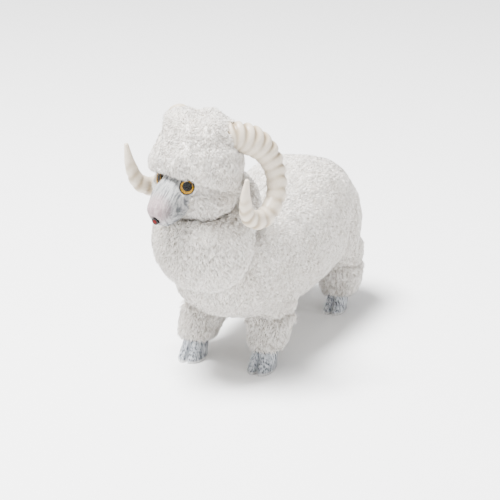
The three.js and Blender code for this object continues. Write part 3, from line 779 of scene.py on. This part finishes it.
# ------------------------------------------------------------------------- eyes
def dome_piece(side_name, side, material):
    """The clear dome of one eye."""
    middle, look = eye_frame(side)
    turn = np.array(look.to_track_quat("Z", "Y").to_matrix())
    angles = 2 * math.pi * np.arange(DOME["around"]) / DOME["around"]
    rings = []
    for step in range(DOME["down"] + 1):
        tilt = step / DOME["down"] * math.radians(DOME["top_angle"])
        radius = EYE["radius"] * math.cos(tilt)
        height = DOME["back"] + DOME["height"] * math.sin(tilt)
        x, y = np.cos(angles) * radius, np.sin(angles) * radius
        ring = np.stack([x, y, np.full_like(angles, height)], 1)
        rings.append(np.array(middle) + ring @ turn.T * MM)
    mesh = rings_to_mesh("eye_dome_" + side_name, rings)
    mesh.materials.append(material)
    piece = new_object("clear_eye_" + side_name, mesh)
    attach(piece, "root")
    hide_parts("eye_dome_" + side_name)


# ------------------------------------------------------------------- whole scene
def dress(name, material):
    """Gives a CAD node that stays its material."""
    node = NODES[name]
    node.data.materials.clear()
    node.data.materials.append(material)


def dress_hard_parts():
    """Materials of the CAD nodes that stay."""
    core = mottled("moulded_core", (0.60, 0.55, 0.47), (0.72, 0.68, 0.60), 300, 0.6)
    wood = mottled("dowel_wood", (0.42, 0.27, 0.14), (0.64, 0.46, 0.28), 60, 0.6, stretch=(8, 8, 1))
    black = mottled("eye_black", (0.004, 0.004, 0.004), (0.012, 0.011, 0.01), 500, 0.35, gloss=0.2)
    red = mottled("mouth_red", (0.07, 0.0004, 0.0008), (0.17, 0.001, 0.002), 900, 0.6, gloss=0.1)
    for name in CORES:
        dress(name, core)
    dress("neck_dowel", wood)
    dress("mouth_rim", black)
    dress("mouth_inlay", red)
    for side_name, side in SIDES.items():
        dress("eye_cup_" + side_name, black)
        dress("eye_iris_" + side_name, iris_material(side))


def make_fur():
    """The body's and the head's fabric."""
    materials = {"white_pile": pile_material(), "face_pile": face_material()}
    leg_and_body_cores = [core for core in CORES if core != "head_core"]
    body_skin = rounded_skin([*BODY_COVERS, *leg_and_body_cores], BODY_SKIN)
    head_skin = rounded_skin([*HEAD_COVERS, "head_core"], HEAD_SKIN)
    body_tree, head_tree = solid_tree(*body_skin), solid_tree(*head_skin)
    on_body = [(Vector(at) * MM, reach, height) for at, reach, height in BODY_SWELLS]
    on_head = [(in_head(*at), reach, height) for at, reach, height in HEAD_SWELLS]
    cover_pieces(BODY_COVERS, body_skin, head_tree, on_body, BODY_SKIN, materials)
    cover_pieces(HEAD_COVERS, head_skin, body_tree, on_head, HEAD_SKIN, materials)


def look_at(item, location, target):
    """Places a lamp or a camera and turns it to a point."""
    item.location = location
    item.rotation_euler = (Vector(target) - Vector(location)).to_track_quat("-Z", "Y").to_euler()


def area_light(name, lamp):
    """A soft square lamp."""
    light = bpy.data.lights.new(name, "AREA")
    light.size = lamp["size"]
    light.energy = lamp["power"]
    look_at(new_object(name, light), lamp["at"], LAMP_TARGET)


def make_studio():
    """Plain pale floor and soft light."""
    near, far = -FLOOR_HALF, FLOOR_HALF
    ground = bpy.data.meshes.new("floor")
    ground.from_pydata([(near, near, 0), (far, near, 0), (far, far, 0), (near, far, 0)], [], [range(4)])
    floor = new_object("floor", ground)
    material, _, shader, _ = new_material("floor_paper")
    set_inputs(shader, Base_Color=(0.95, 0.95, 0.95, 1), Roughness=0.9)
    ground.materials.append(material)
    world = bpy.data.worlds.new("studio")
    world.use_nodes = True
    set_inputs(world.node_tree.nodes["Background"], Color=(1, 1, 1, 1), Strength=WORLD_STRENGTH)
    bpy.context.scene.world = world
    for name, lamp in LAMPS.items():
        area_light(name, lamp)


def make_camera():
    """A long lens from the ram's front left, a little above it."""
    lens = bpy.data.cameras.new("camera")
    lens.sensor_width = CAMERA["sensor"]
    lens.lens = CAMERA["lens"]
    item = new_object("camera", lens)
    look_at(item, CAMERA["at"], CAMERA["target"])
    bpy.context.scene.camera = item


make_camera()
make_studio()
make_fur()
dress_hard_parts()
ivory, paint, clear = horn_material(), hoof_material(), clear_material()
for side_name, side in SIDES.items():
    horn_piece(side_name, side, ivory)
    dome_piece(side_name, side, clear)
for leg in LEGS:
    hoof_piece(leg, paint)

bpy.context.view_layer.update()
